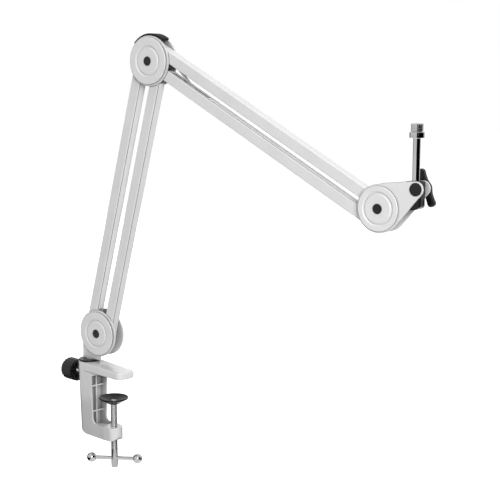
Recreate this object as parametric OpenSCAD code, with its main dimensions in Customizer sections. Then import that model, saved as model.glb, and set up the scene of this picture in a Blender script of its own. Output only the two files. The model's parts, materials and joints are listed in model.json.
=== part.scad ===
// Microphone boom arm with a desk clamp, two parallelogram links and a threaded microphone post.
// The origin is on the clamp screw axis, in the jaw face that lies on the desk. Z is up.
// The arm folds in a plane parallel to XZ, and the clamp is turned a little under it.

/* [Arm links] */
// Length of the lower link, pin to pin
lower_link = 410; // [340:1:460]
// Length of the upper link, pin to pin
upper_link = 391; // [320:1:440]
// Lean of the lower link from upright, in degrees
lower_tilt = 14.85; // [8:0.05:25]
// Droop of the upper link below level, in degrees
upper_droop = 27.98; // [15:0.01:32]

/* [Tubes] */
// Width of a tube, seen from the side of the arm
tube_w = 15.5; // [14:0.5:17]
// Depth of a tube, across the arm
tube_d = 15.2; // [12:0.1:16]
// Wall of a tube
tube_wall = 1.3; // [1:0.1:1.8]
// Radius of the tubes' long edges
tube_edge_r = 1.2; // [0.6:0.1:1.8]
// Width of the fine groove along a tube's edge
line_w = 1.5; // [0.6:0.1:1.8]
// Depth of the fine groove
line_depth = 0.8; // [0.4:0.1:0.8]
// Distance from the tube's flat face to the fine groove
line_in = 1.2; // [1.2:0.1:2]
// Length of the spring slot in the upper tube
slot_l = 75; // [50:1:90]
// Width of the spring slot in the upper tube
slot_w = 6; // [5:0.5:7]
// Width of the spring slot in the lower tube
lower_slot_w = 10; // [6:0.5:11]

/* [Pivots] */
// Radius of the link pins
pin_r = 3; // [2.5:0.1:3.4]
// Distance between the two pins of the lower link
lower_pin_span = 35; // [32:0.5:38]
// Shift of the base pins from the middle of the base disc, along the arm
base_pin_shift = -2.5; // [-4:0.5:0]
// Distance between the two pins of the upper link
upper_pin_span = 28; // [26:0.5:30]
// Place of the shared elbow pin, across from the disc centre
shared_pin_x = 12.1; // [10:0.1:16]
// Place of the shared elbow pin, below the disc centre
shared_pin_drop = 11.4; // [10:0.1:14]
// Place of the head pins, behind the disc centre
head_pin_x = 18.35; // [14:0.05:20]

/* [Discs] */
// Radius of the base and elbow discs
disc_r = 35.3; // [33:0.1:38]
// Radius of the head disc
head_disc_r = 31; // [29:0.1:34]
// Thickness of the side plates
plate_t = 2.4; // [1.8:0.1:3]
// Gap between a tube and a side plate
side_gap = 0.3; // [0.2:0.05:0.5]
// Thickness of the cover discs
cap_t = 2.4; // [1.8:0.1:3]
// Distance from the edge of a side plate in to the edge of its cover disc
cap_step = 2.5; // [1:0.1:4]
// Gap between a side plate and its cover disc
cap_gap = 0.7; // [0.3:0.05:0.9]
// Depth of the step behind the rim of a cover disc
rim_step = 1.1; // [0.5:0.1:1.2]
// Reach of that step inward from the rim
rim_reach = 3; // [1:0.5:5]
// Outer radius of the ring groove in the cover discs
groove_r = 22.2; // [18:0.1:24]
// Width of the ring groove
groove_w = 4.4; // [4:0.1:6]
// Depth of the ring groove
groove_depth = 1.2; // [0.4:0.1:1.4]
// Radius of the centre screw heads
cap_screw_r = 6.5; // [5:0.1:7]
// Height of the centre screw heads
cap_screw_h = 1; // [0.6:0.1:1.6]

/* [Elbow cover] */
// Thickness of the rubber cover strip
cover_t = 3.1; // [2.5:0.1:4]
// Angle where the cover strip starts
cover_from = 54; // [46:1:60]
// Angle where the cover strip ends
cover_to = 139; // [120:1:150]

/* [Base fork] */
// Distance from the swivel axis to the base disc centre, along the arm
swivel_x = 17.9; // [14:0.1:20]
// Distance from the swivel axis to the arm's middle plane
swivel_y = 9.8; // [8:0.1:10]
// Height of the base disc centre above the foot of the fork
neck_drop = 40.8; // [38:0.1:46]
// Distance from the disc centre to the near side of the neck
neck_far_x = 30.5; // [28:0.5:33]
// Distance from the disc centre to the other side of the neck, at the front plate
neck_near_x = 5; // [1:0.5:8]
// The same distance at the back plate, where the neck is narrower
neck_back_x = -14.5; // [-18:0.5:-10]
// Thickness of the foot of the fork
foot_t = 2.5; // [2:0.5:5]
// Radius of the spigot
spigot_r = 6; // [5:0.1:6.5]
// Length of the spigot
spigot_l = 34; // [30:1:38]
// Radius of the bush flange
flange_r = 15.8; // [14:0.1:17]
// Thickness of the bush flange
flange_t = 3; // [2:0.5:4]
// Length of the bush sleeve
sleeve_l = 14; // [10:1:16]
// Wall of the bush sleeve
sleeve_wall = 2.4; // [1.5:0.1:2.6]

/* [Head] */
// Distance from the head disc centre to the tilt bolt, along the arm
nose_x = 51.3; // [48:0.1:60]
// Height of the tilt bolt above the head disc centre
nose_z = 27.2; // [20:0.1:30]
// Radius of the ear round the tilt bolt
ear_r = 9.8; // [9:0.1:12]
// Radius of the tilt bolt
bolt_r = 2.5; // [2:0.1:2.6]
// Radius of the low bolt head
bolt_head_r = 8.3; // [6:0.1:9]
// Tip to tip length of the wing nut
wing_span = 50; // [38:0.5:54]
// Width of a wing
wing_w = 9.5; // [6:0.5:11]
// Thickness of a wing
wing_t = 8; // [3:0.5:9]
// Radius of the wing nut hub
wing_hub_r = 7; // [6:0.5:8]
// Turn of the wing nut from upright, in degrees
wing_turn = 22; // [0:1:90]

/* [Microphone post] */
// Width of the post block
block_w = 20.2; // [16:0.1:22]
// Distance from the tilt bolt to the post axis
post_offset = 5.4; // [3.5:0.1:6.5]
// Height of the block above the tilt bolt
block_top = 9; // [8:0.5:11]
// Depth of the block below the tilt bolt
block_drop = 26; // [20:0.5:28]
// Radius of the post rod
post_r = 4.7625; // [4:0.0125:5.5]
// Height of the collar's lower face above the tilt bolt
collar_z = 62.3; // [50:0.1:70]
// Radius of the collar
collar_r = 9.6; // [9:0.1:12]
// Height of the collar
collar_h = 7.2; // [5:0.1:10]
// Radius of the microphone thread
thread_r = 7.9375; // [4.7625:0.0125:7.9375]
// Length of the microphone thread
thread_l = 10.3; // [8:0.1:14]

/* [Clamp frame] */
// Turn of the clamp under the arm, in degrees
clamp_turn = -8; // [-30:1:30]
// Distance from the swivel axis to the clamp screw
screw_reach = 57; // [52:0.5:64]
// Distance from the swivel axis to the jaw nose
jaw_reach = 90.5; // [86:0.5:98]
// Thickness of the jaw
jaw_t = 9.5; // [8:0.5:12]
// Half width of the jaw near its nose
jaw_half_w = 16.25; // [14:0.25:18]
// Flare of the jaw's sides, in degrees
jaw_flare = 0; // [0:0.1:5]
// Rise of the jaw from its nose to the round boss
boss_h = 3.5; // [2:0.5:5]
// Radius of the round boss
boss_r = 16.5; // [16.5:0.1:19]
// Radius of the column's round back, at the jaw
column_r = 16.25; // [15:0.25:16.5]
// Radius of the column's round back, at the foot of the clamp
column_foot_r = 13.25; // [12.5:0.25:14]
// Distance from the swivel axis to the column's open front
column_front = 22.5; // [22:0.5:28]
// Wall beside the channel in the column's front
channel_wall = 2; // [2:0.1:4.5]
// Thickness of the ribs in the channel
rib_t = 2.4; // [2:0.1:4]
// Height of the throat, jaw to lip
throat_h = 79.5; // [70:0.5:95]
// Thickness of the lower lip
lip_t = 20.5; // [16:0.5:24]
// Radius of the lip's nose
lip_r = 12.7; // [10.5:0.1:14]

/* [Clamp screw] */
// Radius of the clamp screw
screw_r = 4.9; // [4:0.1:5.5]
// Depth of the pad's top edge below the jaw
pad_drop = 34; // [28:1:42]
// Radius of the pad
pad_r = 22; // [18:0.5:22.5]
// Height of the pad
pad_h = 10; // [9:0.5:14]
// Length of the screw below the pad
screw_l = 99; // [97:1:110]
// Height of the handle bar above the end of the screw
handle_up = 14; // [12:1:22]
// Radius of the handle bar
handle_r = 2.8; // [2:0.1:3]
// Distance between the balls on the handle bar
handle_span = 70.5; // [60:0.5:84]
// Radius of the balls
ball_r = 7.2; // [5:0.1:8]
// Turn of the handle bar about the screw, in degrees
handle_turn = 38.5; // [0:0.5:90]

/* [Lock knob] */
// Depth of the lock knob's axis below the jaw
knob_drop = 8.3; // [7:0.1:9]
// Distance from the swivel axis to the inner face of the knob
knob_start = 28; // [24:0.5:30]
// Length of the knob
knob_l = 25; // [22:0.5:34]
// Radius of the knob at its inner face
knob_r = 16.8; // [14:0.1:17]
// Radius of the knob at its outer end
knob_end_r = 15.3; // [12:0.1:16]
// Number of grip grooves round the knob
knob_grooves = 20; // [12:1:28]
// Radius of the lock stud
stud_r = 4; // [3:0.1:4.5]

/* [Fits] */
// Radial clearance of a turning or sliding fit
run_gap = 0.05; // [0.03:0.01:0.1]
// Gap between flat faces that turn on each other
face_gap = 0.1; // [0.05:0.05:0.2]
// Gap round a piece that is pressed or screwed home
seat_gap = 0.02; // [0.01:0.01:0.05]

/* [Hidden] */
$fn = 96;
soft_fn = 32;
over = 1;

plate_in = tube_d / 2 + side_gap;
plate_out = plate_in + plate_t;
cap_in = plate_out + cap_gap;
cap_out = cap_in + cap_t;
cap_edge = 0.6;
cap_hub_r = cap_screw_r + 3;
cap_shank_r = 2.4;
socket_r = 1.8;
socket_mouth_r = 2.6;

eye_r = pin_r + run_gap;
bush_wall = 1.6;
lower_slot_start = 12;
lower_slot_l = 28;
upper_slot_start = 22;
spring_room = 8;
spring_wall = 1.6;
spring_gap = 0.3;
bush_half = tube_d / 2 - tube_wall - seat_gap;
tongue_gap = 0.3;
tongue_half = bush_half - tongue_gap;
relief_r = disc_r - 0.7;
cover_in = disc_r + 0.2;
cover_r = cover_in + cover_t;

base_center = [
    swivel_x - screw_reach * cos(clamp_turn),
    swivel_y - screw_reach * sin(clamp_turn),
    jaw_t + boss_h + seat_gap + flange_t + face_gap + neck_drop
];
swivel_axis = [base_center[0] - swivel_x, base_center[1] - swivel_y, 0];

lower_dir = [sin(lower_tilt), 0, cos(lower_tilt)];
upper_dir = [cos(upper_droop), 0, -sin(upper_droop)];
base_pin_right = base_center + [base_pin_shift + lower_pin_span / 2, 0, 0];
base_pin_left = base_center + [base_pin_shift - lower_pin_span / 2, 0, 0];
elbow_pin_right = base_pin_right + lower_link * lower_dir;
elbow_pin_left = base_pin_left + lower_link * lower_dir;
elbow_center = elbow_pin_right + [-shared_pin_x, 0, shared_pin_drop];
elbow_pin_top = elbow_pin_right + [0, 0, upper_pin_span];
head_pin_low = elbow_pin_right + upper_link * upper_dir;
head_pin_high = elbow_pin_top + upper_link * upper_dir;
head_center = (head_pin_low + head_pin_high) / 2 + [head_pin_x, 0, 0];
tilt_axis = head_center + [nose_x, 0, nose_z];

bolt_head_h = 0.8;
washer_r = 7.5;
washer_t = 1.6;
washer_in = plate_out + seat_gap;
wing_start = washer_in + washer_t + face_gap;
wing_hub_l = 10.5;
rod_seat = bolt_r + 1;

sleeve_r = spigot_r + run_gap + sleeve_wall;
lip_top = -throat_h;
lip_bottom = lip_top - lip_t;
channel_back = spigot_r + 3.5;
channel_top = -6;
channel_half_foot = column_foot_r - channel_wall;
channel_half_top = column_r - channel_wall;
pocket_depth = 5;
pocket_end = screw_reach - lip_r - 1;
rib_front = (channel_back + column_front) / 2;
rib_heights = [-0.3 * throat_h, -0.8 * throat_h];

pad_top = -pad_drop;
pad_bottom = pad_top - pad_h;
pad_neck_r = 3;
pad_floor = 4.3;
screw_end = pad_bottom - screw_l;
handle_z = screw_end + handle_up;

knob_back = knob_start + knob_l;
shoe_start = spigot_r + 0.3;
shoe_l = 3.6;
shoe_r = stud_r - 0.8;
stud_start = shoe_start + shoe_l + face_gap;
stud_end = knob_back - 10;

// A rectangle with round corners
module round_square(w, h, r) {
    square([w - 2 * r, h], center = true);
    square([w, h - 2 * r], center = true);
    for (x = [-1, 1], y = [-1, 1])
        translate([x * (w / 2 - r), y * (h / 2 - r)]) circle(r);
}

// A cylinder across the arm, from y0 to y1
module across(r, y0, y1) {
    translate([0, y1, 0]) rotate([90, 0, 0]) cylinder(r = r, h = y1 - y0);
}

// The front piece as drawn, or the same piece turned over to the back
module side(back) {
    mirror([0, back ? 1 : 0, 0]) children();
}

// A plate in the front side layer of the arm, from an outline in X and Z
module side_plate() {
    translate([0, -plate_in, 0]) rotate([90, 0, 0]) linear_extrude(plate_t) children();
}

// A tube along X with round ends about its two pins, and a fine groove in its top or bottom face
module link_tube(length, grooved) {
    difference() {
        union() {
            rotate([90, 0, 90]) linear_extrude(length) round_square(tube_d, tube_w, tube_edge_r);
            for (x = [0, length]) translate([x, 0, 0]) across(tube_w / 2, -tube_d / 2, tube_d / 2);
        }
        translate([-tube_w, -tube_d / 2 + tube_wall, -tube_w / 2 + tube_wall])
            cube([length + 2 * tube_w, tube_d - 2 * tube_wall, tube_w - 2 * tube_wall]);
        for (x = [0, length]) translate([x, 0, 0]) across(eye_r, -tube_d, tube_d);
        for (face = grooved)
            translate([-tube_w, line_in - tube_d / 2, face * tube_w / 2 - line_depth])
                cube([length + 2 * tube_w, line_w, 2 * line_depth]);
    }
}

// A slot with round ends through one long face of a tube, toward z = side * tube_w / 2
module tube_slot(start, length, width, side) {
    top = side > 0 ? 0 : -tube_w;
    for (x = [start + width / 2, start + length - width / 2])
        translate([x, 0, top]) cylinder(d = width, h = tube_w);
    translate([start + width / 2, -width / 2, top]) cube([length - width, width, tube_w]);
}

// Bushes inside a tube, round its pins
module bushes(places) {
    for (x = places) translate([x, 0, 0]) difference() {
        across(pin_r + bush_wall, -bush_half, bush_half);
        across(eye_r, -tube_d, tube_d);
    }
}

// A tension spring drawn as its sleeve, inside a tube
module spring_sleeve(start, end) {
    translate([start, 0, 0]) rotate([0, 90, 0]) difference() {
        cylinder(r = bush_half - spring_gap, h = end - start);
        translate([0, 0, -over]) cylinder(r = bush_half - spring_gap - spring_wall, h = end - start + 2 * over);
    }
}

// Places a piece drawn along X on a lower tube
module on_lower(pin) {
    translate(pin) rotate([0, lower_tilt - 90, 0]) children();
}

// Places a piece drawn along X on an upper tube
module on_upper(pin) {
    translate(pin) rotate([0, upper_droop, 0]) children();
}

// A cover disc with a rolled rim, a ring groove and a hub that seats on the side plate
module cover_disc(r) {
    translate([0, -plate_out - seat_gap, 0]) rotate([90, 0, 0]) {
        rise = cap_out - plate_out - seat_gap;
        lift = cap_in - plate_out - seat_gap;
        slope = 1.9;
        rotate_extrude() difference() {
            polygon([
                [cap_shank_r + seat_gap, 0], [cap_hub_r, 0], [cap_hub_r, lift], [r - rim_reach, lift],
                [r - rim_reach, lift + rim_step], [r, lift + rim_step], [r, rise - cap_edge],
                [r - cap_edge, rise], [cap_shank_r + seat_gap, rise]
            ]);
            polygon([
                [groove_r - groove_w, rise + over], [groove_r - groove_w, rise],
                [groove_r - groove_w + slope, rise - groove_depth], [groove_r - slope, rise - groove_depth],
                [groove_r, rise], [groove_r, rise + over]
            ]);
        }
    }
}

// The short screws in the middle of a front and a back cover disc
module cover_screws() {
    edge = 0.6;
    floor_h = 0.4 * cap_screw_h;
    for (back = [false, true]) side(back) {
        translate([0, -cap_out - seat_gap, 0]) rotate([90, 0, 0]) rotate_extrude() polygon([
            [socket_r, 0], [cap_screw_r, 0], [cap_screw_r, cap_screw_h - edge * cap_screw_h],
            [cap_screw_r - edge, cap_screw_h], [socket_mouth_r, cap_screw_h], [socket_r, floor_h]
        ]);
        across(cap_shank_r, -cap_out - seat_gap - floor_h, -plate_in - seat_gap);
    }
}

// A hole for a cover screw in both side plates
module cover_screw_hole() {
    across(cap_shank_r + seat_gap, -plate_out - over, plate_out + over);
}

// The outline of a head plate: disc and ear, joined by their common tangents
module nose_outline() {
    reach = norm([nose_x, nose_z]);
    slope = atan2(nose_z, nose_x);
    spread = acos((head_disc_r - ear_r) / reach);
    high = slope + spread;
    low = slope - spread;
    circle(head_disc_r);
    translate([nose_x, nose_z]) circle(ear_r);
    polygon([
        head_disc_r * [cos(low), sin(low)],
        [nose_x, nose_z] + ear_r * [cos(low), sin(low)],
        [nose_x, nose_z] + ear_r * [cos(high), sin(high)],
        head_disc_r * [cos(high), sin(high)],
        [0, 0]
    ]);
}

// Places a piece drawn about the swivel axis, with X toward the jaw nose
module on_clamp() {
    translate(swivel_axis) rotate([0, 0, clamp_turn]) children();
}

// The jaw's outline from above, drawn in by a margin
module jaw_outline(margin) {
    corner = 9;
    half = jaw_half_w - corner;
    tip = jaw_reach - corner;
    r = corner - margin;
    touch = [tip - r * sin(jaw_flare), half + r * cos(jaw_flare)];
    root = touch[1] - touch[0] * tan(jaw_flare);
    for (s = [-1, 1]) translate([tip, s * half]) circle(r);
    polygon([
        [0, -root], [touch[0], -touch[1]], [tip, -half], [tip + r, -half],
        [tip + r, half], [tip, half], [touch[0], touch[1]], [0, root]
    ]);
}

// The clamp seen from the side: column and lip, with round corners in the throat
module throat_profile() {
    back_r = 25;
    top_r = 3;
    inner_r = 8;
    nose_r = 9;
    nose = screw_reach + lip_r;
    difference() {
        translate([-column_r, lip_bottom]) square([nose + column_r, over - lip_bottom]);
        translate([column_front + inner_r, lip_top]) square([nose, throat_h]);
        translate([column_front, lip_top + inner_r]) square([nose, throat_h - top_r - inner_r]);
        translate([column_front + top_r, -2 * top_r]) square([nose, 2 * top_r]);
        translate([column_front + inner_r, lip_top + inner_r]) circle(inner_r);
        translate([column_front + top_r, -top_r]) circle(top_r);
        difference() {
            translate([-column_r - over, lip_bottom - over]) square(back_r + over);
            translate([back_r - column_r, lip_bottom + back_r]) circle(back_r);
        }
        difference() {
            translate([nose - nose_r, lip_bottom - over]) square([nose_r + over, nose_r + over]);
            translate([nose - nose_r, lip_bottom + nose_r]) circle(nose_r);
        }
    }
}

// The column and the lip from above, in front of the swivel axis
module column_outline() {
    translate([screw_reach, 0]) circle(lip_r);
    polygon([
        [0, -column_r], [column_front, -column_r], [screw_reach, -lip_r],
        [screw_reach, lip_r], [column_front, column_r], [0, column_r]
    ]);
}

// The column and the lip as a solid block that tapers toward the foot
module column_block() {
    intersection() {
        translate([0, 0, lip_bottom]) cylinder(r1 = column_foot_r, r2 = column_r, h = -lip_bottom);
        translate([-2 * column_r, -column_r, lip_bottom]) cube([2 * column_r, 2 * column_r, -lip_bottom]);
    }
    intersection() {
        translate([0, 0, lip_bottom]) linear_extrude(-lip_bottom) column_outline();
        rotate([90, 0, 90]) linear_extrude(jaw_reach) polygon([
            [-column_foot_r, lip_bottom], [column_foot_r, lip_bottom], [column_r, 0], [-column_r, 0]
        ]);
    }
}

// The channel in the column's front, from above
module channel_outline(half) {
    front_half = half - (column_foot_r - lip_r) * (pocket_end - column_front) / (screw_reach - column_front);
    polygon([
        [channel_back, -half], [column_front, -half], [pocket_end, -front_half],
        [pocket_end, front_half], [column_front, half], [channel_back, half]
    ]);
}

module clamp_frame() {
    edge = 0.8;
    spigot_gap = 0.5;
    root_x = 6;
    root_half = jaw_half_w - jaw_reach * tan(jaw_flare) - edge;
    color("gainsboro") on_clamp() difference() {
        union() {
            hull() {
                translate([0, 0, edge]) linear_extrude(jaw_t - 2 * edge, $fn = soft_fn) jaw_outline(0);
                linear_extrude(jaw_t, $fn = soft_fn) jaw_outline(edge);
                translate([0, -root_half, 0]) cube([root_x, 2 * root_half, jaw_t + boss_h]);
            }
            cylinder(r = boss_r, h = jaw_t + boss_h - edge);
            translate([0, 0, jaw_t + boss_h - edge]) cylinder(r1 = boss_r, r2 = boss_r - edge, h = edge);
            intersection() {
                translate([0, boss_r, 0]) rotate([90, 0, 0]) linear_extrude(2 * boss_r) throat_profile();
                column_block();
            }
        }
        difference() {
            hull() {
                translate([0, 0, lip_top - pocket_depth]) linear_extrude(over) channel_outline(channel_half_foot);
                translate([0, 0, channel_top - over]) linear_extrude(over) channel_outline(channel_half_top);
            }
            translate([channel_back - over, -rib_t / 2, lip_top - pocket_depth - over])
                cube([rib_front - channel_back + over, rib_t, throat_h]);
            for (z = rib_heights)
                translate([channel_back - over, -column_r, z - rib_t / 2])
                    cube([rib_front - channel_back + over, 2 * column_r, rib_t]);
        }
        translate([0, 0, jaw_t + boss_h - spigot_l]) cylinder(r = spigot_r + spigot_gap, h = spigot_l + over);
        translate([0, 0, jaw_t + boss_h - sleeve_l - face_gap])
            cylinder(r = sleeve_r + seat_gap, h = sleeve_l + face_gap + over);
        translate([0, 0, -knob_drop]) rotate([0, -90, 0]) cylinder(r = stud_r + run_gap, h = knob_back);
        translate([screw_reach, 0, lip_bottom - over])
            cylinder(r = screw_r + run_gap, h = lip_t + 2 * over);
    }
}

module swivel_bush() {
    edge = 0.5;
    top = jaw_t + boss_h + seat_gap + flange_t;
    color("dimgray") on_clamp() translate([0, 0, top]) rotate_extrude() polygon([
        [spigot_r + run_gap, 0], [flange_r - edge, 0], [flange_r, -edge], [flange_r, edge - flange_t],
        [flange_r - edge, -flange_t], [sleeve_r, -flange_t],
        [sleeve_r, -flange_t - sleeve_l + face_gap], [spigot_r + run_gap, -flange_t - sleeve_l + face_gap]
    ]);
}

// Places a piece drawn about the clamp screw's axis
module on_screw() {
    rotate([0, 0, clamp_turn]) children();
}

module clamp_screw() {
    tip_start = pad_bottom + pad_floor + face_gap;
    tip_h = 1.6;
    tip_r = screw_r - 0.4;
    end_edge = 1;
    top_edge = 0.8;
    color("silver") on_screw() difference() {
        rotate_extrude() polygon([
            [0, screw_end], [screw_r - end_edge, screw_end], [screw_r, screw_end + end_edge],
            [screw_r, pad_bottom - face_gap - top_edge], [screw_r - top_edge, pad_bottom - face_gap],
            [pad_neck_r, pad_bottom - face_gap], [pad_neck_r, tip_start],
            [tip_r, tip_start], [screw_r - top_edge, tip_start + tip_h], [0, tip_start + tip_h]
        ]);
        translate([0, 0, handle_z]) rotate([0, 90, handle_turn]) translate([0, 0, -2 * screw_r])
            cylinder(r = handle_r + run_gap, h = 4 * screw_r);
    }
}

module clamp_pad() {
    wall = 1.8;
    rim_h = 2;
    edge = 0.4;
    foot = screw_r + 4;
    color("dimgray") on_screw() translate([0, 0, pad_bottom]) rotate_extrude() polygon([
        [pad_neck_r + run_gap, 0], [foot, 0], [pad_r, pad_h - rim_h], [pad_r, pad_h - edge],
        [pad_r - edge, pad_h], [pad_r - wall, pad_h], [foot, pad_floor], [pad_neck_r + run_gap, pad_floor]
    ]);
}

// Places a piece drawn along X on the handle bar
module on_handle() {
    on_screw() translate([0, 0, handle_z]) rotate([0, 0, handle_turn]) children();
}

module handle_bar() {
    color("silver") on_handle() translate([-handle_span / 2, 0, 0]) rotate([0, 90, 0])
        cylinder(r = handle_r, h = handle_span);
}

module handle_ball(end) {
    color("silver") on_handle() translate([end * handle_span / 2, 0, 0]) difference() {
        rotate([0, end * 90, 0]) sphere(ball_r);
        rotate([0, -end * 90, 0]) translate([0, 0, -seat_gap])
            cylinder(r = handle_r + seat_gap, h = 2 * ball_r);
    }
}

module handle_ball_left() {
    handle_ball(-1);
}

module handle_ball_right() {
    handle_ball(1);
}

// Places a piece drawn along Z on the lock knob's axis, from the swivel axis to the back
module on_knob() {
    on_clamp() translate([0, 0, -knob_drop]) rotate([0, -90, 0]) children();
}

// The knob's body: a grip with grooves along it and a plain outer end
module knob_grip() {
    cutter_r = 1.6;
    cut = 1;
    end_l = 3;
    edge = 1.5;
    linear_extrude(knob_l - end_l) difference() {
        circle(knob_r);
        for (i = [1:knob_grooves]) rotate(i * 360 / knob_grooves)
            translate([knob_r + cutter_r - cut, 0]) circle(cutter_r);
    }
    rotate_extrude() polygon([
        [0, knob_l - end_l - over], [knob_end_r, knob_l - end_l - over], [knob_end_r, knob_l - edge],
        [knob_end_r - edge, knob_l], [0, knob_l]
    ]);
}

module lock_knob() {
    cup = 9;
    hub_r = stud_r + 2.5;
    cup_r = knob_end_r - 3;
    spoke_t = 1.4;
    spokes = 10;
    spoke_in = 1.5;
    color("dimgray") on_knob() translate([0, 0, knob_start]) difference() {
        knob_grip();
        difference() {
            translate([0, 0, -over]) cylinder(r = cup_r, h = cup + over);
            translate([0, 0, -2 * over]) cylinder(r = hub_r, h = cup + 3 * over);
            for (i = [1:spokes]) rotate([0, 0, i * 360 / spokes])
                translate([stud_r + over, -spoke_t / 2, spoke_in]) cube([cup_r - stud_r, spoke_t, cup]);
        }
        translate([0, 0, -over]) cylinder(r = stud_r + seat_gap, h = stud_end - knob_start + 2 * over);
    }
}

module lock_stud() {
    color("silver") on_knob() translate([0, 0, stud_start])
        cylinder(r = stud_r, h = stud_end - stud_start);
}

module lock_tip() {
    color("goldenrod") on_knob() translate([0, 0, shoe_start]) cylinder(r = shoe_r, h = shoe_l);
}

module base_fork() {
    color("gainsboro") {
        translate(base_center) difference() {
            union() {
                for (back = [false, true]) side(back) side_plate() {
                    circle(disc_r);
                    translate([-neck_far_x, -neck_drop])
                        square([neck_far_x + (back ? neck_back_x : neck_near_x), neck_drop]);
                }
                translate([0, 0, -neck_drop]) linear_extrude(foot_t) polygon([
                    [-neck_far_x, -plate_out], [neck_near_x, -plate_out],
                    [neck_back_x, plate_out], [-neck_far_x, plate_out]
                ]);
            }
            for (x = [-1, 1]) translate([base_pin_shift + x * lower_pin_span / 2, 0, 0])
                across(pin_r + seat_gap, -2 * plate_out, 2 * plate_out);
            cover_screw_hole();
        }
        translate([0, 0, base_center[2] - neck_drop]) translate(swivel_axis) {
            difference() {
                translate([0, 0, foot_t - spigot_l]) cylinder(r = spigot_r, h = spigot_l);
                translate([-2 * spigot_r, swivel_y - plate_out - 2 * spigot_r, -flange_t])
                    cube([4 * spigot_r, 2 * spigot_r, 2 * flange_t]);
            }
        }
    }
}

// Pins across the arm, inside the side plates
module link_pins(places) {
    color("silver") for (p = places) translate(p) across(pin_r, -plate_out, plate_out);
}

module base_pins() {
    link_pins([base_pin_left, base_pin_right]);
}

module base_cap_front() {
    color("whitesmoke") translate(base_center) cover_disc(disc_r - cap_step);
}

module base_cap_back() {
    color("whitesmoke") translate(base_center) side(true) cover_disc(disc_r - cap_step);
}

module base_cap_screws() {
    color("black") translate(base_center) cover_screws();
}

module lower_tube_left() {
    color("gainsboro") on_lower(base_pin_left) difference() {
        link_tube(lower_link, [-1]);
        tube_slot(lower_slot_start, lower_slot_l, lower_slot_w, -1);
    }
}

module lower_bushes_left() {
    color("dimgray") on_lower(base_pin_left) bushes([0, lower_link]);
}

module lower_spring() {
    color("silver") on_lower(base_pin_left)
        spring_sleeve(lower_slot_start + lower_slot_l + spring_room, lower_link / 2);
}

module lower_tube_right() {
    color("gainsboro") difference() {
        on_lower(base_pin_right) link_tube(lower_link, [-1]);
        translate(elbow_center) across(relief_r, -tongue_half - tongue_gap, tongue_half + tongue_gap);
    }
}

module lower_bushes_right() {
    color("dimgray") on_lower(base_pin_right) bushes([0]);
}

module elbow_plate(back) {
    color("gainsboro") difference() {
        translate(elbow_center) side(back) side_plate() circle(disc_r);
        for (p = [elbow_pin_left, elbow_pin_right, elbow_pin_top])
            translate(p) across(pin_r + seat_gap, -2 * plate_out, 2 * plate_out);
        translate(elbow_center) cover_screw_hole();
    }
}

module elbow_plate_front() {
    elbow_plate(false);
}

module elbow_plate_back() {
    elbow_plate(true);
}

module elbow_pins() {
    link_pins([elbow_pin_left, elbow_pin_right, elbow_pin_top]);
}

module elbow_cap_front() {
    color("whitesmoke") translate(elbow_center) cover_disc(disc_r - cap_step);
}

module elbow_cap_back() {
    color("whitesmoke") translate(elbow_center) side(true) cover_disc(disc_r - cap_step);
}

module elbow_cap_screws() {
    color("black") translate(elbow_center) cover_screws();
}

module elbow_cover() {
    half = plate_in - seat_gap;
    lug_in = disc_r - 3.7;
    lug_out = cover_in + cover_t / 2;
    lug_from = 90;
    lug_angle = 32;
    color("dimgray") translate(elbow_center) rotate([90, 0, 0]) {
        rotate([0, 0, cover_from]) rotate_extrude(angle = cover_to - cover_from)
            translate([cover_in, -half]) square([cover_t, 2 * half]);
        rotate([0, 0, lug_from]) rotate_extrude(angle = lug_angle)
            translate([lug_in, -half]) square([lug_out - lug_in, 2 * half]);
    }
}

module upper_tube_bottom() {
    color("gainsboro") difference() {
        on_upper(elbow_pin_right) difference() {
            link_tube(upper_link, [1]);
            tube_slot(upper_slot_start, slot_l, slot_w, 1);
        }
        translate(elbow_center) across(relief_r, -tube_d, tube_d);
    }
}

// The tongue in the end of the lower upper tube, which shares its pin with a lower tube
module upper_tongue() {
    plug_l = 34;
    groove_start = 16;
    reach = tube_w / 2 - tube_wall - seat_gap;
    color("silver") on_upper(elbow_pin_right) difference() {
        union() {
            across(reach, -tongue_half, tongue_half);
            translate([0, -tongue_half, -reach]) cube([plug_l, 2 * tongue_half, 2 * reach]);
        }
        across(eye_r, -tube_d, tube_d);
        translate([groove_start, -slot_w / 2, 0]) cube([plug_l, slot_w, tube_w]);
    }
}

module upper_bush_bottom() {
    color("dimgray") on_upper(elbow_pin_right) bushes([upper_link]);
}

module upper_spring() {
    color("silver") on_upper(elbow_pin_right)
        spring_sleeve(upper_slot_start + slot_l + spring_room, upper_link / 2 + slot_l);
}

module upper_tube_top() {
    color("gainsboro") on_upper(elbow_pin_top) link_tube(upper_link, []);
}

module upper_bushes_top() {
    color("dimgray") on_upper(elbow_pin_top) bushes([0, upper_link]);
}

// The strap from the top tube down into the slot of the tube below it
module spring_strap() {
    fall = upper_pin_span * cos(upper_droop) - tube_w;
    strap_w = 3.5;
    strap_t = 2.4;
    start = 37;
    slant = 16.5;
    drop = fall + 4;
    run = drop / tan(slant);
    color("gainsboro") on_upper(elbow_pin_top) translate([start, 0, -tube_w / 2 - seat_gap]) {
        rotate([90, 0, 0]) translate([0, 0, -strap_t / 2]) linear_extrude(strap_t) polygon([
            [0, 0], [strap_w / sin(slant), 0], [run + 2 * strap_w, -drop], [run, -drop]
        ]);
    }
}

module head_plate(back) {
    color("gainsboro") difference() {
        translate(head_center) side(back) side_plate() nose_outline();
        for (p = [head_pin_low, head_pin_high])
            translate(p) across(pin_r + seat_gap, -2 * plate_out, 2 * plate_out);
        translate(head_center) cover_screw_hole();
        translate(tilt_axis) across(bolt_r + seat_gap, -2 * plate_out, 2 * plate_out);
    }
}

module head_plate_front() {
    head_plate(false);
}

module head_plate_back() {
    head_plate(true);
}

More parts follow.
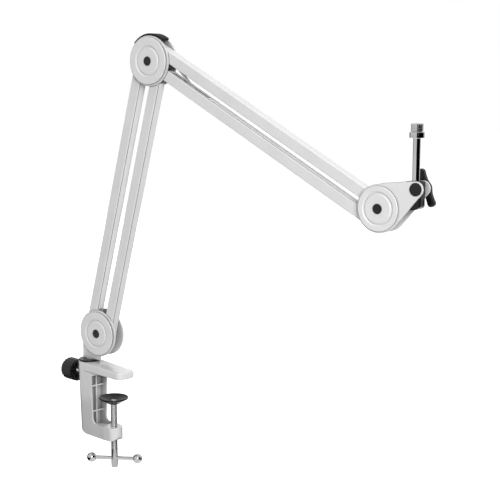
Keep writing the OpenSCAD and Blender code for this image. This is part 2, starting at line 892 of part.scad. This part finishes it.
module head_pins() {
    link_pins([head_pin_low, head_pin_high]);
}

module head_cap_front() {
    color("whitesmoke") translate(head_center) cover_disc(head_disc_r - cap_step);
}

module head_cap_back() {
    color("whitesmoke") translate(head_center) side(true) cover_disc(head_disc_r - cap_step);
}

module head_cap_screws() {
    color("black") translate(head_center) cover_screws();
}

module tilt_bolt() {
    head_in = plate_out + seat_gap;
    head_out = head_in + bolt_head_h;
    edge = 0.3;
    end_gap = 2;
    color("black") translate(tilt_axis) {
        across(bolt_head_r - edge, -head_out, -head_in);
        across(bolt_head_r, edge - head_out, -head_in);
        across(bolt_r, -head_out, wing_start + wing_hub_l - end_gap);
    }
}

module tilt_washer() {
    color("dimgray") translate(tilt_axis) difference() {
        across(washer_r, washer_in, washer_in + washer_t);
        across(bolt_r + seat_gap, 0, 2 * plate_out);
    }
}

module post_block() {
    corner = 3;
    heel_r = 13;
    depth = tube_d;
    color("dimgray") translate(tilt_axis) difference() {
        intersection() {
            translate([-post_offset, 0, -block_drop]) linear_extrude(block_drop + block_top)
                round_square(block_w, depth, corner);
            union() {
                translate([-block_w, -depth, -block_drop + heel_r])
                    cube([2 * block_w, 2 * depth, block_drop + block_top]);
                translate([-post_offset, 0, -block_drop + heel_r]) across(heel_r, -depth, depth);
            }
        }
        across(bolt_r + run_gap, -depth, depth);
        translate([-post_offset, 0, rod_seat]) cylinder(r = post_r + seat_gap, h = block_top);
    }
}

module post_rod() {
    edge = 0.4;
    tip_edge = 0.5;
    start = rod_seat + seat_gap;
    collar_top = collar_z + collar_h;
    tip = collar_top + thread_l;
    color("silver") translate(tilt_axis - [post_offset, 0, 0]) rotate_extrude() polygon([
        [0, start], [post_r, start], [post_r, collar_z], [collar_r - edge, collar_z],
        [collar_r, collar_z + edge], [collar_r, collar_top - edge], [collar_r - edge, collar_top],
        [thread_r, collar_top], [thread_r, tip - tip_edge], [thread_r - tip_edge, tip], [0, tip]
    ]);
}

module wing_nut() {
    tip_r = wing_w / 2;
    tip = wing_span / 2 - tip_r;
    waist = wing_hub_r - 1;
    edge = 0.5;
    end_wall = 1.5;
    wing_back = wing_start + wing_hub_l - edge;
    color("dimgray") translate(tilt_axis) rotate([0, -wing_turn, 0]) difference() {
        union() {
            across(wing_hub_r, wing_start, wing_start + wing_hub_l);
            translate([0, wing_back, 0]) rotate([90, 0, 0]) linear_extrude(wing_t) {
                for (s = [-1, 1]) translate([0, s * tip]) circle(tip_r);
                polygon([
                    [-tip_r, -tip], [tip_r, -tip], [waist, 0], [tip_r, tip], [-tip_r, tip], [-waist, 0]
                ]);
            }
        }
        across(bolt_r + run_gap, 0, wing_start + wing_hub_l - end_wall);
    }
}

clamp_frame();
swivel_bush();
clamp_screw();
clamp_pad();
handle_bar();
handle_ball_left();
handle_ball_right();
lock_knob();
lock_stud();
lock_tip();
base_fork();
base_pins();
base_cap_front();
base_cap_back();
base_cap_screws();
lower_tube_left();
lower_bushes_left();
lower_spring();
lower_tube_right();
lower_bushes_right();
elbow_plate_front();
elbow_plate_back();
elbow_pins();
elbow_cap_front();
elbow_cap_back();
elbow_cap_screws();
elbow_cover();
upper_tube_bottom();
upper_tongue();
upper_bush_bottom();
upper_spring();
upper_tube_top();
upper_bushes_top();
spring_strap();
head_plate_front();
head_plate_back();
head_pins();
head_cap_front();
head_cap_back();
head_cap_screws();
tilt_bolt();
tilt_washer();
post_block();
post_rod();
wing_nut();
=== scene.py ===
import json
import math

import bmesh
import bpy
import numpy as np
from mathutils import Matrix, Vector


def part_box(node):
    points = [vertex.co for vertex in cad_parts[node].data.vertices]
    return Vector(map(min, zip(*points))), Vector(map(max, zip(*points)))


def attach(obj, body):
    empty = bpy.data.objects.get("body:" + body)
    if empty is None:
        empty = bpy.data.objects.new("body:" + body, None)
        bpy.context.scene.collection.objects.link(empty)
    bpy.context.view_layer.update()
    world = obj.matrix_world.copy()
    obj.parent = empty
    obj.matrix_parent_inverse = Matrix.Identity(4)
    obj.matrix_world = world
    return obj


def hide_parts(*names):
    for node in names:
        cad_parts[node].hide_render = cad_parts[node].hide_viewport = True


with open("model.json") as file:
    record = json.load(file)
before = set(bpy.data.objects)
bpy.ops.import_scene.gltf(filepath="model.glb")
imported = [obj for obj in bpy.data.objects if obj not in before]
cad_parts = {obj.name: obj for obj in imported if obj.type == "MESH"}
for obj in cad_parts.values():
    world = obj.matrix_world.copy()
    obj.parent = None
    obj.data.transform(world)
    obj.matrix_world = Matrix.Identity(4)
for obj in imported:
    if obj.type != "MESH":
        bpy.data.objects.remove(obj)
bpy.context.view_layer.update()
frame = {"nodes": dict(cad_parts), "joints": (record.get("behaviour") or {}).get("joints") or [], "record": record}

joints = {j["name"]: j for j in frame["joints"]}
slots = {p["node"]: p["material_slot"] for p in frame["record"]["subparts"]}

MM = 0.001
FULL_TURN = 2 * math.pi
EVEN = (1.0, 1.0, 1.0)
SQUARE = ((-1, -1), (1, -1), (1, 1), (-1, 1))

# Noise in the finishes, in cells to the metre
SMUDGE_SCALE = 22.0
WEAR_AND_HIGHLIGHT_SCALE = 160.0
NOISE_DETAIL = 3.0
NOISE_LOW, NOISE_HIGH = 0.3, 0.7
SPECK_SHARE = 0.35

# Cosines between the soft and the flat normal where the lighter edges, partly wear and partly painted highlight,
# start and are full, and how they are broken up
WEAR_AND_HIGHLIGHT_START, WEAR_AND_HIGHLIGHT_FULL = 0.995, 0.80
BROKEN_LOW, BROKEN_HIGH, BROKEN_LEAST = 0.35, 0.62, 0.35
# How dark the painted shade in corners and recesses gets, as a share of the base grey
PAINTED_SHADE_SHARE = 0.2
COAT_ROUGHNESS = 0.12

# Threads in turned pieces, and what all meshes share
ROWS_PER_PITCH = 9
CREST_SHARE = 0.65
FLANK_SLOPE = 4.0
WELD_DISTANCE = 1e-6
SHARP = 35.0

# The floor is below the handle at its lowest pose
FLOOR_HEIGHT = -0.178
FLOOR_HALF = 9.0
FLOOR_GLOW = 0.76
FLOOR_GREY, FLOOR_GREY_SEEN = 0.4, 0.8
WORLD_AMBIENT = 0.34

# Name, place, target, diameter, watts, and whether it shows in reflections
LAMPS = (
    ("key", (2.17, -1.56, 1.03), (0.25, 0.0, 0.25), 1.5, 56.0, True),
    ("top", (0.15, 0.05, 4.00), (0.15, 0.0, 0.2), 3.2, 52.0, False),
    ("back", (-1.90, 2.30, 1.30), (0.2, 0.0, 0.25), 2.0, 35.0, False),
)

# Name, centre, and the ways from there to the middle of a side and of the top
FLAGS = (
    ("flag_right", (1.1, 0.35, 0.25), (0.35, 0.9, 0.0), (0, 0, 0.55)),
    ("flag_left", (-1.0, 0.15, 0.1), (0.1, 0.35, 0.0), (0, 0, 0.4)),
    ("flag_behind", (-0.032, 0.044, -0.1452), (0.048, 0.035, 0.0), (-0.026, 0.036, 0.0)),
    ("flag_floor_left", (-0.23, -0.02, -0.1450), (0.121, 0.089, 0.0), (-0.146, 0.199, 0.0)),
    ("flag_floor_right", (0.09, 0.21, -0.1450), (0.097, 0.071, 0.0), (-0.117, 0.159, 0.0)),
)
FLAG_GREY = 0.002
FLAG_ROUGHNESS = 0.9

# low, high and edge_wear_and_highlight are grey levels, the last for lighter edges that are partly wear and partly
# painted highlight, rough is a range of roughness, grain is (scale, height in mm), edge_r is the radius of the
# soft edges in mm, finer is how much finer the grain is along X, Y and Z, and crevice_shade is painted shade in
# corners and recesses: (strength, reach in mm, share of open sky where it starts, share where it is full)
FINISHES = {
    "clamp_paint": dict(
        low=0.70, high=0.75, edge_wear_and_highlight=0.97, rough=(0.36, 0.48), grain=(900.0, 0.012), edge_r=0.8,
        wear_and_highlight=0.6, coat=1.0, crevice_shade=(0.8, 22.0, 0.72, 0.2),
    ),
    "plate_paint": dict(
        low=0.745, high=0.795, edge_wear_and_highlight=0.97, rough=(0.32, 0.44), grain=(1300.0, 0.007), edge_r=0.5,
        wear_and_highlight=0.8, crevice_shade=(0.85, 25.0, 0.8, 0.2),
    ),
    "cap_paint": dict(
        low=0.755, high=0.805, edge_wear_and_highlight=0.97, rough=(0.30, 0.40), grain=(1300.0, 0.006), edge_r=0.5,
        wear_and_highlight=0.3, crevice_shade=(0.5, 2.5, 0.95, 0.55),
    ),
    "tube_paint": dict(
        low=0.745, high=0.795, edge_wear_and_highlight=0.93, rough=(0.30, 0.42), grain=(1300.0, 0.006), edge_r=0.35,
        crevice_shade=(0.9, 2.5, 0.9, 0.45),
    ),
    "black_plastic": dict(
        low=0.004, high=0.009, edge_wear_and_highlight=0.07, rough=(0.20, 0.30), grain=(1500.0, 0.01), edge_r=0.5,
        wear_and_highlight=0.9, specular=0.26,
    ),
    "black_metal": dict(
        low=0.007, high=0.013, edge_wear_and_highlight=0.05, rough=(0.28, 0.40), grain=(1100.0, 0.012), edge_r=0.35,
        specular=0.26,
    ),
    "black_rubber": dict(
        low=0.008, high=0.014, edge_wear_and_highlight=0.03, rough=(0.55, 0.70), grain=(1800.0, 0.02), edge_r=0.6,
        specular=0.2,
    ),
    "nylon": dict(
        low=0.030, high=0.045, edge_wear_and_highlight=0.06, rough=(0.45, 0.58), grain=(1200.0, 0.01), edge_r=0.4,
    ),
    "chrome": dict(
        low=0.47, high=0.50, edge_wear_and_highlight=0.56, rough=(0.05, 0.09), grain=(420.0, 0.0002), edge_r=0.4,
        metallic=1.0,
    ),
    "steel": dict(
        low=0.40, high=0.43, edge_wear_and_highlight=0.52, rough=(0.16, 0.20), grain=(500.0, 0.0004), edge_r=0.3,
        metallic=1.0, finer=(1.0, 1.0, 6.0),
    ),
    "brass": dict(
        low=0.66, high=0.72, edge_wear_and_highlight=0.80, rough=(0.22, 0.32), grain=(700.0, 0.003), edge_r=0.3,
        metallic=1.0, tint=(1.0, 0.78, 0.42),
    ),
}


def linked(name, data):
    """A new object with this data, in the scene."""
    item = bpy.data.objects.new(name, data)
    bpy.context.collection.objects.link(item)
    return item


# Camera, as fitted to the photo

def aim_camera():
    data = bpy.data.cameras.new("camera")
    data.sensor_width = 36.0
    data.lens = 84.906
    data.clip_start = 0.05
    place = (1.177162, -1.264726, 0.462500)
    right = Vector((0.806978, 0.590570, 0.003657))
    up = Vector((-0.095416, 0.124264, 0.987651))
    ahead = Vector((-0.582823, 0.797361, -0.156628))
    camera = linked("camera", data)
    turn = Matrix((right, up, -ahead)).transposed().to_4x4()
    camera.matrix_world = Matrix.Translation(place) @ turn
    bpy.context.scene.camera = camera


# Materials

class Shader:
    """A node tree with short calls to add and join its nodes."""

    def __init__(self, owner):
        owner.use_nodes = True
        self.tree = owner.node_tree

    def clear(self):
        for node in list(self.tree.nodes):
            self.tree.nodes.remove(node)

    def put(self, socket, value):
        """Joins a socket to a value that is one too, or else sets it."""
        if isinstance(value, bpy.types.NodeSocket):
            self.tree.links.new(value, socket)
        else:
            socket.default_value = value

    def add(self, kind, inputs=None, **settings):
        node = self.tree.nodes.new(kind)
        for key, value in settings.items():
            setattr(node, key, value)
        for key, value in (inputs or {}).items():
            self.put(node.inputs[key], value)
        return node

    def math(self, operation, a, b=0.0):
        return self.add("ShaderNodeMath", {0: a, 1: b}, operation=operation, use_clamp=True).outputs[0]

    def span(self, value, low, high, to_low, to_high):
        return self.add("ShaderNodeMapRange", {
            "Value": value, "From Min": low, "From Max": high, "To Min": to_low, "To Max": to_high,
        }).outputs[0]

    def blend(self, factor, a, b):
        return self.add("ShaderNodeMix", {0: factor, 6: a, 7: b}, data_type="RGBA").outputs[2]

    def noise(self, place, scale):
        inputs = {"Vector": place, "Scale": scale, "Detail": NOISE_DETAIL}
        return self.add("ShaderNodeTexNoise", inputs).outputs[0]

    def light_path(self):
        """Light Path's outputs, and a value that is 1 for what is seen directly or in metal or glass."""
        path = self.add("ShaderNodeLightPath").outputs
        direct = self.math("ADD", path["Is Camera Ray"], path["Is Glossy Ray"])
        return path, self.math("ADD", direct, path["Is Transmission Ray"])


def grey(level, tint=EVEN):
    """A colour from a grey level and a tint."""
    return (level * tint[0], level * tint[1], level * tint[2], 1.0)


def surface(name, low, high, edge_wear_and_highlight, rough, grain, edge_r, wear_and_highlight=0.5, metallic=0.0, tint=EVEN, finer=EVEN,
            coat=0.0, specular=0.5, crevice_shade=None):
    """A finish with uneven colour and gloss, fine grain, soft edges lightened partly as wear and partly as painted
    highlight, and painted shade in corners.
    """
    material = bpy.data.materials.new(name)
    s = Shader(material)
    place = s.add("ShaderNodeTexCoord").outputs["Object"]
    drawn = s.add("ShaderNodeMapping", {"Vector": place, "Scale": finer}).outputs[0]
    broad = s.noise(place, SMUDGE_SCALE)
    fine = s.noise(drawn, grain[0])
    soft = s.add("ShaderNodeBevel", {"Radius": edge_r * MM}, samples=6).outputs[0]

    flat = s.add("ShaderNodeNewGeometry").outputs["Normal"]
    facing = s.add("ShaderNodeVectorMath", {0: soft, 1: flat}, operation="DOT_PRODUCT").outputs["Value"]
    # Mask of the soft edges, lightened partly as wear and partly as a painted highlight
    corner = s.span(facing, WEAR_AND_HIGHLIGHT_START, WEAR_AND_HIGHLIGHT_FULL, 0.0, 1.0)
    broken = s.span(s.noise(place, WEAR_AND_HIGHLIGHT_SCALE), BROKEN_LOW, BROKEN_HIGH, BROKEN_LEAST, 1.0)
    worn_and_highlit = s.math("MULTIPLY", s.math("MULTIPLY", corner, broken), wear_and_highlight)

    speck = s.span(fine, NOISE_LOW, NOISE_HIGH, -0.5, 0.5)
    mixed = s.add("ShaderNodeMath", {0: speck, 1: SPECK_SHARE, 2: broad}, operation="MULTIPLY_ADD")
    level = s.span(mixed.outputs[0], NOISE_LOW, NOISE_HIGH, 0.0, 1.0)
    colour = s.blend(level, grey(low, tint), grey(high, tint))
    # Lighter soft edges: partly wear, partly a painted highlight
    colour = s.blend(worn_and_highlit, colour, grey(edge_wear_and_highlight, tint))
    # Painted shade: corners and recesses darkened by ambient occlusion
    if crevice_shade:
        strength, reach, start, full = crevice_shade
        open_sky = s.add("ShaderNodeAmbientOcclusion", {"Distance": reach * MM}, samples=8).outputs["AO"]
        painted_shade = grey(PAINTED_SHADE_SHARE * low, tint)
        colour = s.blend(s.span(open_sky, start, full, 0.0, strength), colour, painted_shade)

    bump = s.add("ShaderNodeBump", {
        "Height": fine, "Distance": grain[1] * MM, "Strength": 1.0, "Normal": soft,
    })
    shader = material.node_tree.nodes["Principled BSDF"]
    for key, value in (
        ("Base Color", colour),
        ("Roughness", s.span(broad, NOISE_LOW, NOISE_HIGH, rough[0], rough[1])),
        ("Normal", bump.outputs[0]),
        ("Metallic", metallic),
        ("Specular IOR Level", specular),
        ("Coat Weight", coat),
        ("Coat Roughness", COAT_ROUGHNESS),
    ):
        s.put(shader.inputs[key], value)
    return material


looks = {name: surface(name, **finish) for name, finish in FINISHES.items()}


def dress(piece, slot):
    """Gives a piece the finish of a material slot."""
    piece.data.materials.clear()
    piece.data.materials.append(looks[slot])


# Mesh helpers. Sizes are in mm, places and boxes in metres

def cleaned(name, points, faces, place=None):
    """A mesh with its seams joined and its faces turned outward, moved to its place."""
    mesh = bpy.data.meshes.new(name)
    mesh.from_pydata([tuple(p) for p in np.asarray(points, float) * MM], [], faces)
    work = bmesh.new()
    work.from_mesh(mesh)
    bmesh.ops.remove_doubles(work, verts=work.verts, dist=WELD_DISTANCE)
    bmesh.ops.recalc_face_normals(work, faces=work.faces)
    if place is not None:
        work.transform(place)
    work.to_mesh(mesh)
    work.free()
    return mesh


def shade(mesh, sharp):
    """Smooth shading, apart from edges sharper than this many degrees."""
    mesh.polygons.foreach_set("use_smooth", [True] * len(mesh.polygons))
    mesh.set_sharp_from_angle(angle=math.radians(sharp))


def made(name, points, faces, body, slot, node=None, sharp=SHARP, place=None):
    """A piece moved to its place, on a body, standing for a node."""
    mesh = cleaned(name, points, faces, place)
    shade(mesh, sharp)
    piece = linked(name, mesh)
    dress(piece, slot)
    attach(piece, body)
    if node:
        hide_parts(node)
    return piece


def turned(outline, steps=72, thread=None):
    """Points and faces of a piece turned about Z from (radius, height) points, with an optional thread
    (low, high, pitch, depth) on its straight part."""
    rows = []
    for (r0, z0), (r1, z1) in zip(outline, outline[1:]):
        count = 1
        if thread and r0 == r1 and z0 < thread[1] and z1 > thread[0]:
            count = int(abs(z1 - z0) / (thread[2] / ROWS_PER_PITCH)) + 1
        rows += [(r0 + (r1 - r0) * i / count, z0 + (z1 - z0) * i / count) for i in range(count)]
    rows.append(outline[-1])
    angles = np.linspace(0, FULL_TURN, steps, endpoint=False)
    points = []
    for r, z in rows:
        radius = np.full(steps, float(r))
        if thread and thread[0] < z < thread[1]:
            low, high, pitch, depth = thread
            phase = (z / pitch - angles / FULL_TURN) % 1.0
            groove = np.clip(FLANK_SLOPE * (abs(2 * phase - 1) - CREST_SHARE), 0, 1)
            fade = min(1.0, (z - low) / pitch, (high - z) / pitch)
            radius = radius - depth * groove * fade
        points += [(radius[i] * math.cos(a), radius[i] * math.sin(a), z) for i, a in enumerate(angles)]
    return points, rings(len(rows), steps)


def rings(rows, steps):
    """The faces between rows of points, each a closed ring."""
    faces = []
    for j in range(rows - 1):
        for i in range(steps):
            k = (i + 1) % steps
            faces.append((j * steps + i, j * steps + k, (j + 1) * steps + k, (j + 1) * steps + i))
    return faces


def rounded(corners, r, count=5):
    """An open outline of (x, y) corners with its inner corners rounded to radius r."""
    out = [corners[0]]
    for before, at, after in zip(corners, corners[1:], corners[2:]):
        a, b, c = (np.array(p, float) for p in (before, at, after))
        reach = min(r, 0.45 * np.linalg.norm(a - b), 0.45 * np.linalg.norm(c - b))
        start = b + (a - b) / np.linalg.norm(a - b) * reach
        end = b + (c - b) / np.linalg.norm(c - b) * reach
        for t in np.linspace(0, 1, count):
            out.append(tuple((1 - t) ** 2 * start + 2 * t * (1 - t) * b + t ** 2 * end))
    out.append(corners[-1])
    return out


def along(origin, axis):
    """The place of a piece drawn about Z, put at an origin with its Z along an axis."""
    turn = Vector((0, 0, 1)).rotation_difference(Vector(axis))
    return Matrix.Translation(origin) @ turn.to_matrix().to_4x4()


def drill(piece, place, hole_r, reach):
    """Cuts a round hole through a piece along the Z of a place, as far as reach to each side."""
    points, faces = turned([(0, -reach), (hole_r, -reach), (hole_r, reach), (0, reach)], steps=48)
    cutter = linked("cutter", cleaned("cutter", points, faces, place))
    cut = piece.modifiers.new("hole", "BOOLEAN")
    cut.operation = "DIFFERENCE"
    cut.solver = "EXACT"
    cut.object = cutter
    bpy.context.view_layer.update()
    graph = bpy.context.evaluated_depsgraph_get()
    result = bpy.data.meshes.new_from_object(piece.evaluated_get(graph))
    piece.modifiers.clear()
    piece.data = result
    result.set_sharp_from_angle(angle=math.radians(SHARP))
    bpy.data.objects.remove(cutter)


# Clamp screw with its thread, riveted tip and cross hole

def clamp_screw():
    low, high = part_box("clamp_screw")
    bottom, top = low.z / MM, high.z / MM
    r, neck, rivet, plain_l = 4.9, 3.0, 4.5, 28
    lead, depth = 1.5, 0.22
    pad_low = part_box("clamp_pad")[0].z / MM
    outline = rounded([
        (0, bottom), (r - 0.2, bottom), (r, bottom + 1.2), (r, bottom + plain_l), (r, pad_low - 1.0),
        (r - 0.9, pad_low - 0.15), (neck, pad_low - 0.15), (neck, top - 1.6), (rivet, top - 1.6),
        (rivet - 0.2, top - 0.5), (2.6, top), (2.1, top - 0.7), (0, top - 0.9),
    ], 0.5)
    points, faces = turned(outline, thread=(bottom + plain_l + 1, pad_low - 1.2, lead, depth))
    screw = made("screw_with_thread", points, faces, "screw", "steel")
    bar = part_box("handle_bar")
    centre = (bar[0] + bar[1]) / 2
    drill(screw, along((0, 0, centre.z), joints["handle_slide"]["axis"]), hole_r=2.85, reach=9)
    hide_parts("clamp_screw")


# Microphone post with its collar and thread

def post_rod():
    low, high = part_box("post_rod")
    centre = (low + high) / 2
    bottom, top = (low.z - high.z) / MM, 0.0
    r, collar, screw = 4.7625, 9.6, 7.9375
    thread_l, collar_l = 10.3, 7.2
    pitch, depth = 0.9407, 0.32
    collar_high = top - thread_l
    collar_low = collar_high - collar_l
    outline = rounded([
        (0, bottom), (r, bottom), (r, collar_low - 0.9), (r + 0.5, collar_low), (collar - 0.2, collar_low),
        (collar, collar_low + 0.5), (collar, collar_high - 0.5), (collar - 0.5, collar_high),
        (screw - 0.65, collar_high), (screw - 0.65, collar_high + 0.8), (screw, collar_high + 1.3),
        (screw, top - 0.9), (screw - 0.8, top), (3.2, top), (2.6, top - 0.6), (0, top - 0.8),
    ], 0.35)
    points, faces = turned(outline, steps=80, thread=(collar_high + 1.3, top - 0.6, pitch, depth))
    place = Matrix.Translation((centre.x, centre.y, high.z))
    made("microphone_post", points, faces, "post", "chrome", "post_rod", place=place)


# Threaded stud of the lock knob, measured from the clamp's swivel

def lock_stud():
    axis = Vector(joints["knob_turn"]["axis"])
    pivot = Vector(joints["swivel"]["pos_m"])
    height = joints["knob_turn"]["pos_m"][2]
    place = along((pivot.x, pivot.y, height), axis)
    first, last, r = 10.0, 43.0, 4.0
    lead, depth = 1.25, 0.35
    outline = [
        (0, first), (r - 0.6, first), (r, first + 0.6), (r, last - 0.5), (r - 0.5, last), (0, last),
    ]
    points, faces = turned(outline, steps=60, thread=(first + 0.6, last - 1.0, lead, depth))
    made("lock_stud_with_thread", points, faces, "knob", "steel", "lock_stud", place=place)


# Dished pad on the clamp screw

def clamp_pad():
    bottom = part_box("clamp_pad")[0].z / MM
    hole_r = 3.05
    outline = rounded([
        (hole_r, 4.3), (hole_r, 0.0), (8.6, 0.0), (15.4, 4.6), (21.6, 7.8), (22.0, 9.2), (21.6, 10.0),
        (20.6, 10.0), (19.9, 8.8), (14.4, 6.4), (8.4, 4.3), (hole_r, 4.3),
    ], 0.9)
    points, faces = turned([(r, z + bottom) for r, z in outline], steps=96)
    made("dished_pad", points, faces, "pad", "black_plastic", "clamp_pad", sharp=50)


# Wing nut with rounded paddles

def wing_paddles(centre, end):
    """Both paddles in one piece, leaning as in the photo."""
    half, tip_r = 25.0, 4.75
    waist, flare, swell, swell_l = 4.0, 0.75, 2.6, 6.5
    front, thickness, edge_r, lean = 8.5, 8.0, 1.8, -22
    rim_angle = 1.0
    side = []
    for t in np.linspace(-1, 1, 41):
        s = t * (half - tip_r)
        side.append((waist + flare * abs(t) ** 3 + swell * math.exp(-(s / swell_l) ** 2), s))
    cap = []
    for a in np.linspace(0, math.pi, 13)[1:-1]:
        cap.append((tip_r * math.cos(a), half - tip_r + tip_r * math.sin(a)))
    outline = side + cap + [(-x, -y) for x, y in side + cap]
    mesh = bpy.data.meshes.new("wing")
    work = bmesh.new()
    ring = [work.verts.new((x * MM, (end - front) * MM, z * MM)) for x, z in outline]
    face = work.faces.new(ring)
    grown = bmesh.ops.extrude_face_region(work, geom=[face])
    moved = [v for v in grown["geom"] if isinstance(v, bmesh.types.BMVert)]
    bmesh.ops.translate(work, verts=moved, vec=(0, thickness * MM, 0))
    bmesh.ops.recalc_face_normals(work, faces=work.faces)
    rims = [e for e in work.edges if e.calc_face_angle(0) > rim_angle]
    bmesh.ops.bevel(work, geom=rims, offset=edge_r * MM, segments=4, profile=0.6, affect="EDGES")
    work.to_mesh(mesh)
    work.free()
    mesh.transform(Matrix.Translation(centre) @ Matrix.Rotation(math.radians(lean), 4, "Y"))
    shade(mesh, 40)
    wing = linked("wing_paddles", mesh)
    dress(wing, "black_plastic")
    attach(wing, "wing")


def wing_nut():
    centre = Vector(joints["post_tilt"]["pos_m"])
    low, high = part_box("wing_nut")
    start, end = (low.y - centre.y) / MM, (high.y - centre.y) / MM
    wing_paddles(centre, end)
    bore, floor = 2.55, end - 1.5
    hub = [(0, floor), (bore, floor)] + rounded([
        (bore, start), (6.4, start), (7.0, start + 0.6), (6.6, end - 1.4), (5.4, end), (0, end),
    ], 0.8)
    points, faces = turned(hub, steps=64)
    made("wing_hub", points, faces, "wing", "black_plastic", "wing_nut", place=along(centre, (0, 1, 0)))


# Coiled springs inside the tubes

def coil(name, node, body, first, last, turns):
    """A close-wound spring between two points, with its wire swept along a helix."""
    axis = last - first
    length = axis.length / MM
    wire, radius, around, per_turn = 0.9, 4.7, 8, 20
    count = turns * per_turn
    points = []
    for i in range(count + 1):
        a = FULL_TURN * turns * i / count
        z = wire + (length - 2 * wire) * i / count
        for k in range(around):
            b = FULL_TURN * k / around
            r = radius + wire * math.cos(b)
            points.append((r * math.cos(a), r * math.sin(a), z + wire * math.sin(b)))
    faces = rings(count + 1, around)
    faces.append(tuple(range(around)))
    faces.append(tuple(count * around + k for k in reversed(range(around))))
    made(name, points, faces, body, "steel", node, sharp=60, place=along(first, axis))


def springs():
    """Each spring lies along its link, at distances in metres from the pin that its tube turns on."""
    lean, level = Vector(joints["lower_lean"]["pos_m"]), Vector(joints["elbow_level"]["pos_m"])
    swing, head = Vector(joints["upper_swing"]["pos_m"]), Vector(joints["head_level"]["pos_m"])
    lower, upper = (level - lean).normalized(), (head - swing).normalized()
    foot = Vector(joints["lower_follow"]["pos_m"])
    coil("lower_spring_coil", "lower_spring", "lower_left",
         foot + 0.048 * lower, foot + 0.205 * lower, turns=66)
    coil("upper_spring_coil", "upper_spring", "upper_bottom",
         swing + 0.105 * upper, swing + 0.2705 * upper, turns=70)


# Floor, world, lamps and flags

def sheet(name, centre, across, up):
    """A flat four-cornered piece beside the object, and its new material."""
    mesh = bpy.data.meshes.new(name)
    c, a, u = Vector(centre), Vector(across), Vector(up)
    mesh.from_pydata([tuple(c + i * a + j * u) for i, j in SQUARE], [], [(0, 1, 2, 3)])
    material = bpy.data.materials.new(name)
    mesh.materials.append(material)
    return linked(name, mesh), material


def lay_floor():
    """A floor that glows where it is seen, so that it is white, and keeps the object's shadow."""
    floor, material = sheet("floor", (0, 0, FLOOR_HEIGHT), (FLOOR_HALF, 0, 0), (0, FLOOR_HALF, 0))
    s = Shader(material)
    s.clear()
    path, seen = s.light_path()
    strength = s.math("MULTIPLY", seen, FLOOR_GLOW)
    level = s.blend(path["Is Camera Ray"], grey(FLOOR_GREY), grey(FLOOR_GREY_SEEN))
    glow = s.add("ShaderNodeEmission", {"Color": grey(1.0), "Strength": strength})
    matt = s.add("ShaderNodeBsdfDiffuse", {"Color": level})
    both = s.add("ShaderNodeAddShader", {0: glow.outputs[0], 1: matt.outputs[0]})
    s.add("ShaderNodeOutputMaterial", {"Surface": both.outputs[0]})


def fill_world():
    """A world that is white where it is seen, and lights the object at a lower level."""
    world = bpy.data.worlds.new("world")
    bpy.context.scene.world = world
    s = Shader(world)
    s.clear()
    _, seen = s.light_path()
    level = s.span(seen, 0.0, 1.0, WORLD_AMBIENT, 1.0)
    back = s.add("ShaderNodeBackground", {"Color": grey(1.0), "Strength": level})
    s.add("ShaderNodeOutputWorld", {"Surface": back.outputs[0]})


def hang_lamp(name, place, target, size, power, reflected):
    data = bpy.data.lights.new(name, "AREA")
    data.shape = "DISK"
    data.size = size
    data.energy = power
    light = linked(name, data)
    way = Vector(target) - Vector(place)
    light.matrix_world = Matrix.Translation(place) @ way.to_track_quat("-Z", "Y").to_matrix().to_4x4()
    light.visible_glossy = reflected


def stand_flag(name, centre, across, up):
    """A black card that shows only in reflections."""
    card, material = sheet(name, centre, across, up)
    s = Shader(material)
    shader = material.node_tree.nodes["Principled BSDF"]
    s.put(shader.inputs["Base Color"], grey(FLAG_GREY))
    s.put(shader.inputs["Roughness"], FLAG_ROUGHNESS)
    s.put(shader.inputs["Specular IOR Level"], 0.0)
    card.visible_camera = False
    card.visible_diffuse = False
    card.visible_shadow = False


for node, piece in frame["nodes"].items():
    look = looks[slots[node]]
    if not piece.material_slots:
        piece.data.materials.append(look)
    for place in piece.material_slots:
        place.material = look

aim_camera()
clamp_screw()
post_rod()
lock_stud()
clamp_pad()
wing_nut()
springs()
lay_floor()
fill_world()
for lamp in LAMPS:
    hang_lamp(*lamp)
for flag in FLAGS:
    stand_flag(*flag)

bpy.context.scene.view_settings.view_transform = "Standard"
